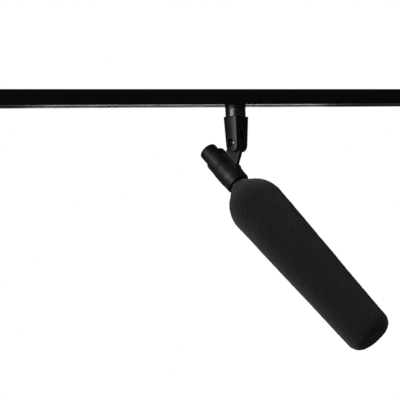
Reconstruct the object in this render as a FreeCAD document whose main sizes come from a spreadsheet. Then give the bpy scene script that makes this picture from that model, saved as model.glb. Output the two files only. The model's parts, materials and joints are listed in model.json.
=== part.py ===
import FreeCAD, Part
import math
import os

import Sketcher

# A short directional microphone in a foam windscreen, held by a swivel clip that hangs
# from a carriage in a slotted ceiling track.
#
# Frame: the origin is the centre of the track's top (ceiling) face, above the swivel axis.
# +X runs along the track, +Z is up, and -Y is the side that the windscreen points to.
# The fork's own frame is turned about Z by "heading", so that its X is the way the windscreen
# points. The clip's frame is that one moved down to the pivot and tilted by "tilt". The barrel
# frame is the clip's frame moved down to the microphone's axis, with X towards the front end.

DIMENSIONS = {
    # Track profile: a channel that opens downwards, with two lips
    "track_length": 500,
    "track_width": 34.6,
    "track_height": 15,
    "web_thickness": 2,
    "wall_thickness": 1.8,
    "lip_thickness": 1.6,
    "slot_width": 10.4,
    "outer_edge_radius": 0.5,
    "screw_spacing": 400,
    "screw_hole_radius": 2.25,
    # Insulators and conductors inside the track
    "liner_length": 484,
    "liner_thickness": 4,
    "liner_gap": 0.2,
    "groove_depth": 2.4,
    "groove_height": 3.4,
    "conductor_depth": 1.6,
    "conductor_height": 2.8,
    # Closed end cap and live end feed
    "cap_plate": 3,
    "plug_depth": 7,
    "plug_gap": 0.5,
    "plug_width": 20,
    "plug_height": 9,
    "feed_length": 38,
    "feed_wall": 2,
    "feed_cover": 1.8,
    "feed_screw_inset": 9,
    "post_wall": 0.4,
    "inlet_radius": 5,
    "grommet_bore": 3.4,
    "grommet_flange": 6.2,
    "grommet_flange_thickness": 1.2,
    "grommet_edge": 0.4,
    "terminal_length": 14,
    "terminal_width": 22,
    "terminal_height": 7,
    "terminal_pitch": 10,
    "terminal_inset": 4,
    "terminal_gap": 0.3,
    "terminal_well": 3,
    "terminal_screw_sink": 0.6,
    "terminal_screw_length": 2.3,
    "small_screw_radius": 1.4,
    "small_screw_length": 6,
    "small_head_radius": 2.6,
    "small_head_thickness": 1.2,
    "small_slot_width": 0.6,
    "small_slot_depth": 0.5,
    "screw_play": 0.1,
    # Carriage
    "carriage_length": 56,
    "carriage_width": 22.4,
    "carriage_height": 8,
    "glide_thickness": 0.6,
    "glide_inset": 0.4,
    "glide_gap": 0.05,
    "stud_radius": 4.76,
    "stud_length": 30.2,
    "stud_edge": 0.8,
    "stud_head_radius": 8,
    "stud_head_thickness": 3,
    "thread_play": 0.08,
    "flange_radius": 10.5,
    "flange_edge": 0.3,
    "flange_thickness": 2.1,
    "flange_gap": 0.2,
    # Lock ring
    "ring_radius": 10.2,
    "ring_height": 8.4,
    "ring_gap": 0.2,
    "ring_edge": 0.4,
    "ring_groove": 0.35,
    "ring_groove_height": 0.8,
    "ring_groove_pitch": 2.1,
    # Fork
    "fork_top": 26.1,
    "fork_top_width": 15.6,
    "fork_low_width": 13.6,
    "fork_shift": 0.5,
    "fork_end_drop": 54.6,
    "fork_top_depth": 11.2,
    "fork_low_depth": 9.1,
    "fork_crown": 30,
    "fork_slot": 6.2,
    "fork_slot_top": 40.3,
    "near_seat_radius": 3.8,
    "far_seat_radius": 3.6,
    "seat_depth": 5.2,
    "bush_radius": 7,
    "bush_height": 11,
    "bush_play": 0.1,
    "bush_edge": 0.3,
    "socket_spare": 1.2,
    # Pivot
    "pivot_drop": 52,
    "heading": -57,
    "tilt": 43.7,
    "bolt_radius": 1.5,
    "bolt_play": 0.05,
    "bolt_head_radius": 2.75,
    "bolt_head_edge": 0.5,
    "bolt_head_thickness": 1.5,
    "bolt_tail": 0.6,
    "bolt_cross_width": 0.5,
    "bolt_cross_length": 2.6,
    "bolt_cross_depth": 0.6,
    "nut_flats": 5.5,
    "nut_thickness": 2.4,
    "washer_radius": 5.8,
    "washer_thickness": 0.4,
    # Clip
    "axis_drop": 30.05,
    "lug_thickness": 5,
    "boss_radius": 7,
    "lug_shoulder": 7.4,
    "lug_front": 10.6,
    "lug_front_drop": 3.1,
    "lug_root_front": 16.9,
    "lug_root_back": 2,
    "foot_front": 18.4,
    "foot_back": 4,
    "foot_rise": 1.4,
    "foot_top_width": 7.4,
    "foot_base_width": 13,
    "foot_sink": 1.6,
    "clip_front": 29.7,
    "clip_back": 12.6,
    "clip_slant": 13,
    "clip_radius": 12.25,
    "clip_offset": 1,
    "clip_bore": 9.58,
    "clip_split": 5,
    "clip_edge": 0.8,
    "band_rise": 0.45,
    "band_back": 2.5,
    "band_front": 22.5,
    "band_ramp": 4,
    # Microphone
    "barrel_radius": 9.5,
    "barrel_bore": 8.5,
    "tail_end": 22.9,
    "tail_edge": 1.2,
    "tail_groove": 3.6,
    "tail_groove_width": 0.9,
    "tail_groove_depth": 0.45,
    "barrel_front": 50,
    "inner_play": 0.1,
    "insert_back": 12,
    "insert_thickness": 7,
    "pin_radius": 1.15,
    "pin_circle": 4.1,
    "pin_reach": 8,
    "pin_tail": 2,
    "pin_play": 0.02,
    "set_screw_radius": 1,
    "set_screw_length": 2.6,
    "set_screw_bite": 2,
    "set_screw_place": 1.4,
    "set_screw_play": 0.05,
    "set_screw_slot": 0.4,
    "board_gap": 4,
    "board_length": 34,
    "board_width": 13,
    "board_thickness": 1.6,
    "board_rise": 3.4,
    "front_chip_place": 24,
    "front_chip_length": 6,
    "front_chip_width": 5,
    "front_chip_height": 1.6,
    "rear_chip_place": 3,
    "rear_chip_length": 4,
    "rear_chip_width": 8,
    "rear_chip_height": 1.2,
    "transformer_radius": 4.2,
    "transformer_length": 17,
    "transformer_drop": 3.6,
    "transformer_place": 5,
    "capsule_radius": 8.4,
    "capsule_wall": 1,
    "capsule_skirt": 7,
    "capsule_length": 14,
    "capsule_rim": 3,
    "capsule_play": 0.05,
    "diaphragm_thickness": 0.2,
    "backplate_thickness": 1.4,
    "backplate_hole": 0.7,
    "backplate_circle": 4.4,
    "spacer_thickness": 2.6,
    "spacer_wall": 3,
    "tube_front": 222,
    "tube_bore": 8.5,
    "vent_length": 5.2,
    "vent_width": 1.8,
    "vent_pitch": 8,
    "vent_count": 18,
    "vent_start": 76,
    "cloth_back": 66,
    "cloth_front": 221,
    "cloth_thickness": 0.25,
    "nose_length": 5,
    "nose_edge": 1.6,
    "nose_hole_radius": 1,
    "nose_hole_circle": 5.6,
    # Windscreen
    "foam_bore": 9.85,
    "foam_bore_end": 228.6,
    "foam_radius": 27.85,
    "foam_end_radius": 21.95,
    "foam_dome_centre": 64.3,
    "foam_dome_length": 32,
    "foam_cone_front": 41,
    "foam_end": 239.1,
    "foam_end_edge": 10.8,
    "foam_mouth_lip": 0.5,
}

FORK_FRAME = "placement(vector(0; 0; 0); rotation(Dims.heading; 0; 0))"
CLIP_FRAME = (
    "placement(vector(0; 0; -Dims.pivot_drop);"
    " rotation(Dims.heading; Dims.tilt; 0))"
)
BARREL_FRAME = (
    "placement(vector(-Dims.axis_drop * sin(Dims.tilt) * cos(Dims.heading);"
    " -Dims.axis_drop * sin(Dims.tilt) * sin(Dims.heading);"
    " -Dims.pivot_drop - Dims.axis_drop * cos(Dims.tilt));"
    " rotation(Dims.heading; Dims.tilt; 0))"
)

LINER_TOP = "(-Dims.web_thickness - Dims.liner_gap)"
LIP_TOP = "(-Dims.track_height + Dims.lip_thickness)"
LINER_HEIGHT = (
    "(Dims.track_height - Dims.web_thickness - Dims.lip_thickness - 2 * Dims.liner_gap)"
)
WALL_FACE = "(Dims.track_width / 2 - Dims.wall_thickness - Dims.liner_gap)"
BLOCK_LOW = "(-Dims.track_height + Dims.lip_thickness + Dims.glide_thickness + Dims.glide_gap)"
FLANGE_TOP = "(-Dims.track_height - Dims.flange_gap)"
RING_TOP = "(-Dims.track_height - Dims.flange_gap - Dims.flange_thickness - Dims.ring_gap)"
FEED_SCREW_X = "(-Dims.track_length / 2 - Dims.feed_length + Dims.feed_screw_inset)"
SET_SCREW_X = "(-Dims.insert_back + Dims.set_screw_place)"
SLEEVE_AXIS = "(-Dims.axis_drop + Dims.clip_offset)"
FAR = "40"  # longer than anything that a tool cuts through

doc = FreeCAD.newDocument("TrackMicrophone")
nodes = []


# ---------------------------------------------------------------- helpers


def make_sheet():
    """Spreadsheet with every driving dimension under its own alias."""
    sheet = doc.addObject("Spreadsheet::Sheet", "Dims")
    for row, (alias, value) in enumerate(DIMENSIONS.items(), start=1):
        sheet.set("A%d" % row, alias)
        sheet.set("B%d" % row, str(value))
        sheet.setAlias("B%d" % row, alias)
    doc.recompute()
    return sheet


def bind(item, formulas):
    """Binds each property of item to its sheet formula."""
    for name, formula in formulas.items():
        item.setExpression(name, formula)
    return item


def node(item, label, frame=None):
    """Marks item as a finished sub-part, in its own frame."""
    item.Label = label
    if frame:
        item.setExpression("Placement", frame)
    nodes.append(item)
    return item


def spot(x, y, z, turn="0; 0; 0"):
    """Placement formula of a point and a yaw; pitch; roll."""
    return "placement(vector(%s; %s; %s); rotation(%s))" % (x, y, z, turn)


def block(name, low, size):
    """Box from its low corner and its three sides, all formulas."""
    box = doc.addObject("Part::Box", name)
    sides = dict(zip(("Length", "Width", "Height"), size))
    return bind(box, {**sides, "Placement": spot(*low)})


TURNS = {"X": "0; 90; 0", "Y": "0; 0; -90", "Z": "0; 0; 0"}


def rod(name, start, radius, length, along):
    """Round rod from the point start, running along an axis of its frame."""
    cylinder = doc.addObject("Part::Cylinder", name)
    sizes = {"Radius": radius, "Height": length}
    return bind(cylinder, {**sizes, "Placement": spot(*start, TURNS[along])})


def join(name, *parts):
    """One solid from overlapping parts."""
    fuse = doc.addObject("Part::MultiFuse", name)
    fuse.Shapes = list(parts)
    fuse.Refine = True
    return fuse


def group(name, *parts):
    """Separate like pieces kept together as one node."""
    compound = doc.addObject("Part::Compound", name)
    compound.Links = list(parts)
    return compound


def cut(name, base, *tools):
    """The base with every tool taken away."""
    result = doc.addObject("Part::Cut", name)
    result.Base = base
    result.Tool = tools[0] if len(tools) == 1 else group(name + "Tools", *tools)
    return result


def outline_sketch(body, plane, name, corners):
    """Closed outline of straight edges; each corner is a pair of formulas."""
    sketch = body.newObject("Sketcher::SketchObject", name)
    face = [item for item in body.Origin.OriginFeatures if item.Role == plane][0]
    sketch.AttachmentSupport = (face, [""])
    sketch.MapMode = "FlatFace"
    count = len(corners)
    turn = 2 * math.pi / count
    start = [FreeCAD.Vector(math.cos(turn * i), math.sin(turn * i), 0) for i in range(count)]
    edges = [Part.LineSegment(start[i], start[(i + 1) % count]) for i in range(count)]
    sketch.addGeometry(edges, False)
    for i in range(count):
        sketch.addConstraint(Sketcher.Constraint("Coincident", i, 2, (i + 1) % count, 1))
    for i, corner in enumerate(corners):
        for kind, formula in zip(("DistanceX", "DistanceY"), corner):
            number = sketch.addConstraint(Sketcher.Constraint(kind, -1, 1, i, 1, 1.0))
            sketch.setExpression("Constraints[%d]" % number, formula)
    return sketch


def turned(name, corners, along):
    """Turned piece: each corner is (place along the axis, radius)."""
    body = doc.addObject("PartDesign::Body", name)
    if along == "Z":
        corners = [(radius, place) for place, radius in corners]
    sketch = outline_sketch(body, "XZ_Plane", name + "Outline", corners)
    solid = body.newObject("PartDesign::Revolution", name + "Turned")
    solid.Profile = sketch
    solid.ReferenceAxis = (sketch, ["V_Axis" if along == "Z" else "H_Axis"])
    solid.Angle = 360
    return body


def extruded(name, plane, corners, thickness):
    """Flat outline padded equally to both sides of its plane."""
    body = doc.addObject("PartDesign::Body", name)
    sketch = outline_sketch(body, plane, name + "Outline", corners)
    pad = body.newObject("PartDesign::Pad", name + "Pad")
    pad.Profile = sketch
    pad.SideType = "Symmetric"
    bind(pad, {"Length": thickness})
    return body


def rounded(body, choose, radius):
    """Rounds the edges of a body that choose picks."""
    doc.recompute()
    base = body.Tip
    edges = base.Shape.Edges
    names = ["Edge%d" % (i + 1) for i, edge in enumerate(edges) if choose(edge)]
    fillet = body.newObject("PartDesign::Fillet", body.Name + "Round")
    fillet.Base = (base, names)
    bind(fillet, {"Radius": radius})
    return body


def tube_corners(back, front, outer, inner, edge="0.01"):
    """Corners of a tube with bevelled outer ends."""
    return [
        (back, inner),
        (back, "%s - %s" % (outer, edge)),
        ("%s + %s" % (back, edge), outer),
        ("%s - %s" % (front, edge), outer),
        (front, "%s - %s" % (outer, edge)),
        (front, inner),
    ]


# ---------------------------------------------------------------- track


def track_profile():
    """Extruded aluminium channel with a slot along its underside."""
    half = "Dims.track_width / 2"
    inner = "(Dims.track_width / 2 - Dims.wall_thickness)"
    slot = "Dims.slot_width / 2"
    right = [
        (half, "0"),
        (half, "-Dims.track_height"),
        (slot, "-Dims.track_height"),
        (slot, LIP_TOP),
        (inner, LIP_TOP),
        (inner, "-Dims.web_thickness"),
    ]
    left = [("-" + across, up) for across, up in reversed(right)]
    body = extruded("Channel", "YZ_Plane", right + left, "Dims.track_length")

    def outer_edge(edge):
        middle = edge.CenterOfMass
        at_side = abs(abs(middle.y) - DIMENSIONS["track_width"] / 2) < 0.1
        return at_side and edge.Length > DIMENSIONS["track_length"] - 1

    rounded(body, outer_edge, "Dims.outer_edge_radius")
    holes = [
        rod(
            "TrackHole%d" % i,
            ("%s * Dims.screw_spacing / 2" % side, "0", "-Dims.web_thickness - 1"),
            "Dims.screw_hole_radius",
            "Dims.web_thickness + 2",
            "Z",
        )
        for i, side in enumerate(("-1", "1"))
    ]
    node(cut("TrackProfile", body, *holes), "track_profile")


def track_liners():
    """Insulating strip and its conductor along each inner wall."""
    for side, sign in (("front", "-1"), ("rear", "1")):
        back = "%s * %s" % (sign, WALL_FACE)
        face = "%s * (%s - Dims.liner_thickness)" % (sign, WALL_FACE)
        floor = "%s * (%s - Dims.liner_thickness + Dims.groove_depth)" % (sign, WALL_FACE)
        low = "%s - %s" % (LINER_TOP, LINER_HEIGHT)
        middle = "(%s - %s / 2)" % (LINER_TOP, LINER_HEIGHT)
        groove_top = "%s + Dims.groove_height / 2" % middle
        groove_low = "%s - Dims.groove_height / 2" % middle
        corners = [
            (back, LINER_TOP),
            (face, LINER_TOP),
            (face, groove_top),
            (floor, groove_top),
            (floor, groove_low),
            (face, groove_low),
            (face, low),
            (back, low),
        ]
        strip = extruded(side + "Liner", "YZ_Plane", corners, "Dims.liner_length")
        node(strip, side + "_insulator")
        rail_face = "%s * (%s - Dims.liner_thickness + Dims.groove_depth - Dims.conductor_depth)" % (
            sign,
            WALL_FACE,
        )
        rail_top = "%s + Dims.conductor_height / 2" % middle
        rail_low = "%s - Dims.conductor_height / 2" % middle
        rail = [(floor, rail_top), (rail_face, rail_top), (rail_face, rail_low), (floor, rail_low)]
        node(extruded(side + "Rail", "YZ_Plane", rail, "Dims.liner_length"), side + "_conductor")


def cap_screw(name, x, y, low, length):
    """Small pan-head screw with its head below the point (x, y, low)."""
    shank = rod(name + "Shank", (x, y, low), "Dims.small_screw_radius", length, "Z")
    head_low = "%s - Dims.small_head_thickness" % low
    head = rod(name + "Head", (x, y, head_low), "Dims.small_head_radius", "Dims.small_head_thickness", "Z")
    slot = block(
        name + "Slot",
        (
            "%s - Dims.small_head_radius" % x,
            "%s - Dims.small_slot_width / 2" % y,
            "%s - Dims.small_slot_depth" % head_low,
        ),
        ("2 * Dims.small_head_radius", "Dims.small_slot_width", "2 * Dims.small_slot_depth"),
    )
    return cut(name, join(name + "Whole", shank, head), slot)


def end_cap():
    """Moulded cap that closes the far end of the track."""
    half = "Dims.track_length / 2"
    side = "Dims.track_width / 2"
    plate = block(
        "CapPlate",
        (half, "-" + side, "-Dims.track_height"),
        ("Dims.cap_plate", "Dims.track_width", "Dims.track_height"),
    )
    low = "(-Dims.web_thickness - Dims.plug_gap - Dims.plug_height)"
    plug = block(
        "CapPlug",
        (half + " - Dims.plug_depth", "-Dims.plug_width / 2", low),
        ("Dims.plug_depth + Dims.cap_plate / 2", "Dims.plug_width", "Dims.plug_height"),
    )
    node(join("EndCap", plate, plug), "end_cap")


def feed_housing():
    """Hollow end feed with a cable inlet in its outer wall, open below for its cover."""
    end = "(-Dims.track_length / 2)"
    side = "Dims.track_width / 2"
    shell = block(
        "FeedShell",
        (end + " - Dims.feed_length", "-" + side, "-Dims.track_height + Dims.feed_cover"),
        ("Dims.feed_length", "Dims.track_width", "Dims.track_height - Dims.feed_cover"),
    )
    room = block(
        "FeedRoom",
        (
            end + " - Dims.feed_length + Dims.feed_wall",
            "-%s + Dims.feed_wall" % side,
            "-Dims.track_height - 1",
        ),
        (
            "Dims.feed_length - 2 * Dims.feed_wall",
            "Dims.track_width - 2 * Dims.feed_wall",
            "Dims.track_height + 1 - Dims.feed_wall",
        ),
    )
    inlet = rod(
        "FeedInlet",
        (end + " - Dims.feed_length - 1", "0", "-Dims.track_height / 2"),
        "Dims.inlet_radius",
        "Dims.feed_wall + 2",
        "X",
    )
    posts = [
        rod(
            "FeedPost%d" % i,
            (FEED_SCREW_X, "%s * Dims.terminal_pitch" % sign, "-Dims.track_height + Dims.feed_cover"),
            "Dims.small_head_radius + Dims.post_wall",
            "Dims.track_height - Dims.feed_cover - Dims.feed_wall / 2",
            "Z",
        )
        for i, sign in enumerate(("-1", "1"))
    ]
    holes = [
        rod(
            "FeedPostHole%d" % i,
            (FEED_SCREW_X, "%s * Dims.terminal_pitch" % sign, "-Dims.track_height"),
            "Dims.small_screw_radius + Dims.screw_play",
            "Dims.small_screw_length + 1",
            "Z",
        )
        for i, sign in enumerate(("-1", "1"))
    ]
    hollow = cut("FeedHollow", shell, room, inlet)
    node(cut("FeedHousing", join("FeedBody", hollow, *posts), *holes), "feed_housing")


def feed_cover():
    """Flat cover under the end feed, with its two screws."""
    end = "(-Dims.track_length / 2)"
    plate = block(
        "CoverPlate",
        (end + " - Dims.feed_length", "-Dims.track_width / 2", "-Dims.track_height"),
        ("Dims.feed_length", "Dims.track_width", "Dims.feed_cover"),
    )
    signs = ("-1", "1")
    holes = [
        rod(
            "CoverHole%d" % i,
            (FEED_SCREW_X, "%s * Dims.terminal_pitch" % sign, "-Dims.track_height - 1"),
            "Dims.small_screw_radius + Dims.screw_play",
            "Dims.feed_cover + 2",
            "Z",
        )
        for i, sign in enumerate(signs)
    ]
    node(cut("FeedCover", plate, *holes), "feed_cover")
    screws = [
        cap_screw(
            "CoverScrew%d" % i,
            FEED_SCREW_X,
            "%s * Dims.terminal_pitch" % sign,
            "-Dims.track_height",
            "Dims.small_screw_length",
        )
        for i, sign in enumerate(signs)
    ]
    node(group("CoverScrews", *screws), "feed_cover_screws")


def cable_grommet():
    """Rubber bush in the cable inlet."""
    outer = "(-Dims.track_length / 2 - Dims.feed_length)"
    flange = outer + " - Dims.grommet_flange_thickness"
    inner = outer + " + Dims.feed_wall"
    snug = "Dims.inlet_radius - Dims.screw_play"
    corners = [
        (flange, "Dims.grommet_bore"),
        (flange, "Dims.grommet_flange - Dims.grommet_edge"),
        (flange + " + Dims.grommet_edge", "Dims.grommet_flange"),
        (outer, "Dims.grommet_flange"),
        (outer, snug),
        (inner, snug),
        (inner, "Dims.grommet_bore"),
    ]
    bush = turned("CableGrommet", corners, "X")
    node(bush, "cable_grommet", spot("0", "0", "-Dims.track_height / 2"))


def terminal_block():
    """Screw terminals inside the end feed."""
    x = "(-Dims.track_length / 2 - Dims.terminal_inset - Dims.terminal_length)"
    low = "(-Dims.feed_wall - Dims.terminal_gap - Dims.terminal_height)"
    base = block(
        "TerminalBase",
        (x, "-Dims.terminal_width / 2", low),
        ("Dims.terminal_length", "Dims.terminal_width", "Dims.terminal_height"),
    )
    middle = x + " + Dims.terminal_length / 2"
    signs = ("-1", "1")
    wells = [
        rod(
            "TerminalWell%d" % i,
            (middle, "%s * Dims.terminal_pitch / 2" % sign, low + " - 1"),
            "Dims.small_head_radius + Dims.screw_play",
            "Dims.terminal_well + 1",
            "Z",
        )
        for i, sign in enumerate(signs)
    ]
    node(cut("TerminalBlock", base, *wells), "terminal_block")
    screws = [
        rod(
            "TerminalScrew%d" % i,
            (middle, "%s * Dims.terminal_pitch / 2" % sign, low + " + Dims.terminal_screw_sink"),
            "Dims.small_head_radius",
            "Dims.terminal_screw_length",
            "Z",
        )
        for i, sign in enumerate(signs)
    ]
    node(group("TerminalScrews", *screws), "terminal_screws")


# ---------------------------------------------------------------- carriage


def carriage():
    """Block that runs inside the track on two glide strips, with the threaded stud."""
    base = block(
        "CarriageBase",
        ("-Dims.carriage_length / 2", "-Dims.carriage_width / 2", BLOCK_LOW),
        ("Dims.carriage_length", "Dims.carriage_width", "Dims.carriage_height"),
    )
    bore = rod(
        "CarriageBore",
        ("0", "0", BLOCK_LOW + " - 1"),
        "Dims.stud_radius + Dims.thread_play",
        "Dims.carriage_height + 2",
        "Z",
    )
    head_low = "(%s + Dims.carriage_height - Dims.stud_head_thickness)" % BLOCK_LOW
    well = rod(
        "CarriageWell",
        ("0", "0", head_low),
        "Dims.stud_head_radius + Dims.screw_play",
        "Dims.stud_head_thickness + 1",
        "Z",
    )
    node(cut("CarriageBlock", base, bore, well), "carriage_block")
    tip = "(%s - Dims.stud_length)" % head_low
    stud = [
        ("%s + Dims.stud_head_thickness" % head_low, "0"),
        ("%s + Dims.stud_head_thickness" % head_low, "Dims.stud_head_radius"),
        (head_low, "Dims.stud_head_radius"),
        (head_low, "Dims.stud_radius"),
        (tip + " + Dims.stud_edge", "Dims.stud_radius"),
        (tip, "Dims.stud_radius - Dims.stud_edge"),
        (tip, "0"),
    ]
    node(turned("SwivelStud", stud, "Z"), "swivel_stud")
    edge = "Dims.slot_width / 2 + Dims.glide_inset"
    for side, low_y in (("front", "-Dims.carriage_width / 2"), ("rear", edge)):
        strip = block(
            side + "Glide",
            ("-Dims.carriage_length / 2", low_y, LIP_TOP + " + Dims.glide_gap"),
            ("Dims.carriage_length", "Dims.carriage_width / 2 - (%s)" % edge, "Dims.glide_thickness"),
        )
        node(strip, side + "_glide_strip")
    low = FLANGE_TOP + " - Dims.flange_thickness"
    bore = "Dims.stud_radius + Dims.thread_play"
    washer = tube_corners(low, FLANGE_TOP, "Dims.flange_radius", bore, "Dims.flange_edge")
    node(turned("StopFlange", washer, "Z"), "stop_flange")


def lock_ring():
    """Grooved ring nut that locks the swivel against the stop flange."""
    bore = "Dims.stud_radius + Dims.thread_play"
    top = RING_TOP
    low = top + " - Dims.ring_height"
    deep = "Dims.ring_radius - Dims.ring_groove"
    corners = [
        (top, bore),
        (top, "Dims.ring_radius - Dims.ring_edge"),
        (top + " - Dims.ring_edge", "Dims.ring_radius"),
    ]
    for i in range(3):
        start = "%s - Dims.ring_groove_pitch * %s" % (top, i + 0.8)
        corners.append((start, "Dims.ring_radius"))
        corners.append((start + " - Dims.ring_groove_height * 0.3", deep))
        corners.append((start + " - Dims.ring_groove_height * 0.7", deep))
        corners.append((start + " - Dims.ring_groove_height", "Dims.ring_radius"))
    corners.append((low + " + Dims.ring_edge", "Dims.ring_radius"))
    corners.append((low, "Dims.ring_radius - Dims.ring_edge"))
    corners.append((low, bore))
    node(turned("LockRing", corners, "Z"), "lock_ring")


# ---------------------------------------------------------------- fork


def fork_side(name, sign):
    """Tall cone that gives one ear its tapered, slightly crowned outer side."""
    centre = "%s * (Dims.fork_crown - Dims.fork_top_depth)" % sign
    height = "(Dims.fork_end_drop + Dims.fork_low_width / 2 - Dims.fork_top)"
    cone = doc.addObject("Part::Cone", name)
    sizes = {
        "Radius1": "Dims.fork_crown - Dims.fork_top_depth + Dims.fork_low_depth",
        "Radius2": "Dims.fork_crown",
        "Height": height,
        "Placement": spot("0", centre, "-Dims.fork_top - " + height),
    }
    return bind(cone, sizes)


def fork_body():
    """Tapered fork: two ears with round ends, a socket in its top and a seat for bolt and nut."""
    plate = extruded(
        "ForkPlate",
        "XZ_Plane",
        [
            ("Dims.fork_shift + Dims.fork_top_width / 2", "-Dims.fork_top"),
            ("Dims.fork_shift + Dims.fork_low_width / 2", "-Dims.fork_end_drop"),
            ("Dims.fork_shift - Dims.fork_low_width / 2", "-Dims.fork_end_drop"),
            ("Dims.fork_shift - Dims.fork_top_width / 2", "-Dims.fork_top"),
        ],
        FAR,
    )
    ends = rod(
        "ForkEnds",
        ("Dims.fork_shift", "-%s / 2" % FAR, "-Dims.fork_end_drop"),
        "Dims.fork_low_width / 2",
        FAR,
        "Y",
    )
    blank = doc.addObject("Part::MultiCommon", "ForkBlank")
    blank.Shapes = [join("ForkOutline", plate, ends), fork_side("NearSide", 1), fork_side("FarSide", -1)]
    tools = [
        block(
            "ForkSlot",
            ("-%s / 2" % FAR, "-Dims.fork_slot / 2", "-Dims.fork_slot_top - " + FAR),
            (FAR, "Dims.fork_slot", FAR),
        ),
        rod(
            "ForkSocket",
            ("0", "0", "-Dims.fork_top - Dims.bush_height - Dims.socket_spare"),
            "Dims.bush_radius + Dims.bush_play",
            FAR,
            "Z",
        ),
        rod(
            "ForkPivotBore",
            ("0", "-%s / 2" % FAR, "-Dims.pivot_drop"),
            "Dims.bolt_radius + Dims.bolt_play",
            FAR,
            "Y",
        ),
        rod(
            "NearSeat",
            ("0", "-Dims.seat_depth - " + FAR, "-Dims.pivot_drop"),
            "Dims.near_seat_radius",
            FAR,
            "Y",
        ),
        rod(
            "FarSeat",
            ("0", "Dims.seat_depth", "-Dims.pivot_drop"),
            "Dims.far_seat_radius",
            FAR,
            "Y",
        ),
    ]
    node(cut("Fork", blank, *tools), "fork_body", FORK_FRAME)


def thread_bush():
    """Brass thread adapter in the fork's socket."""
    low = "-Dims.fork_top - Dims.bush_height"
    top = "-Dims.fork_top - Dims.bush_play"
    bore = "Dims.stud_radius + Dims.thread_play"
    corners = tube_corners(low, top, "Dims.bush_radius", bore, "Dims.bush_edge")
    node(turned("ThreadBush", corners, "Z"), "thread_bush", FORK_FRAME)


def pivot_hardware():
    """Domed cross-head bolt, hexagon nut and two friction washers on the tilt axis."""
    level = "-Dims.pivot_drop"
    head_x = "(-Dims.seat_depth - Dims.bolt_head_thickness)"
    tail = "Dims.seat_depth + Dims.nut_thickness + Dims.bolt_tail"
    blank = turned(
        "BoltBlank",
        [
            (head_x, "0"),
            (head_x + " + 0.04 * Dims.bolt_head_radius", "0.3 * Dims.bolt_head_radius"),
            (head_x + " + 0.14 * Dims.bolt_head_radius", "0.6 * Dims.bolt_head_radius"),
            (head_x + " + 0.28 * Dims.bolt_head_radius", "0.85 * Dims.bolt_head_radius"),
            ("-Dims.seat_depth - Dims.bolt_head_edge", "Dims.bolt_head_radius"),
            ("-Dims.seat_depth", "Dims.bolt_head_radius"),
            ("-Dims.seat_depth", "Dims.bolt_radius"),
            (tail, "Dims.bolt_radius"),
            (tail, "0"),
        ],
        "X",
    )
    bind(blank, {"Placement": spot("0", "0", level, "90; 0; 0")})
    cross = [
        block(
            "BoltCross%d" % i,
            ("-%s / 2" % wide, head_x + " - 1", "%s - %s / 2" % (level, tall)),
            (wide, "Dims.bolt_cross_depth + 1", tall),
        )
        for i, (wide, tall) in enumerate(
            (
                ("Dims.bolt_cross_width", "Dims.bolt_cross_length"),
                ("Dims.bolt_cross_length", "Dims.bolt_cross_width"),
            )
        )
    ]
    node(cut("PivotBolt", blank, *cross), "pivot_bolt", FORK_FRAME)

    hexagon = doc.addObject("Part::Prism", "NutHexagon")
    hexagon.Polygon = 6
    bind(
        hexagon,
        {
            "Circumradius": "Dims.nut_flats / 2 / cos(30)",
            "Height": "Dims.nut_thickness",
            "Placement": spot("0", "Dims.seat_depth + Dims.bolt_play", level, TURNS["Y"]),
        },
    )
    bore = rod("NutBore", ("0", "0", level), "Dims.bolt_radius + Dims.bolt_play", FAR, "Y")
    node(cut("PivotNut", hexagon, bore), "pivot_nut", FORK_FRAME)

    outer = "(Dims.fork_slot / 2 - Dims.bolt_play)"
    for side, start in (("near", "-" + outer), ("far", outer + " - Dims.washer_thickness")):
        radius = "Dims.washer_radius"
        disc = rod(side + "WasherDisc", ("0", start, level), radius, "Dims.washer_thickness", "Y")
        radius = "Dims.bolt_radius + 2 * Dims.bolt_play"
        hole = rod(side + "WasherHole", ("0", "-%s / 2" % FAR, level), radius, FAR, "Y")
        node(cut(side + "Washer", disc, hole), side + "_friction_washer", FORK_FRAME)


# ---------------------------------------------------------------- clip


def clip_sleeve():
    """Outer shape of the sleeve: bevelled rims, a raised band and a slanted back."""
    back = "-Dims.clip_back"
    front = "Dims.clip_front"
    low = "Dims.clip_radius"
    high = "(Dims.clip_radius + Dims.band_rise)"
    corners = [
        (back, "0"),
        (back, low + " - Dims.clip_edge"),
        (back + " + Dims.clip_edge", low),
        ("Dims.band_back", low),
        ("Dims.band_back + Dims.band_ramp", high),
        ("Dims.band_front - Dims.band_ramp", high),
        ("Dims.band_front", low),
        (front + " - Dims.clip_edge", low),
        (front, low + " - Dims.clip_edge"),
        (front, "0"),
    ]
    sleeve = turned("SleeveOuter", corners, "X")
    bind(sleeve, {"Placement": spot("0", "0", SLEEVE_AXIS)})
    pivot = ("-Dims.clip_back", "0", SLEEVE_AXIS + " + Dims.clip_radius", "0; -Dims.clip_slant; 0")
    wedge = doc.addObject("Part::Box", "SleeveWedge")
    bind(wedge, {"Length": FAR, "Width": FAR, "Height": "2 * " + FAR})
    shift = " * " + spot("-" + FAR, "-%s / 2" % FAR, "-1.5 * " + FAR)
    bind(wedge, {"Placement": spot(*pivot) + shift})
    return cut("SleeveSlanted", sleeve, wedge)


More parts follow.
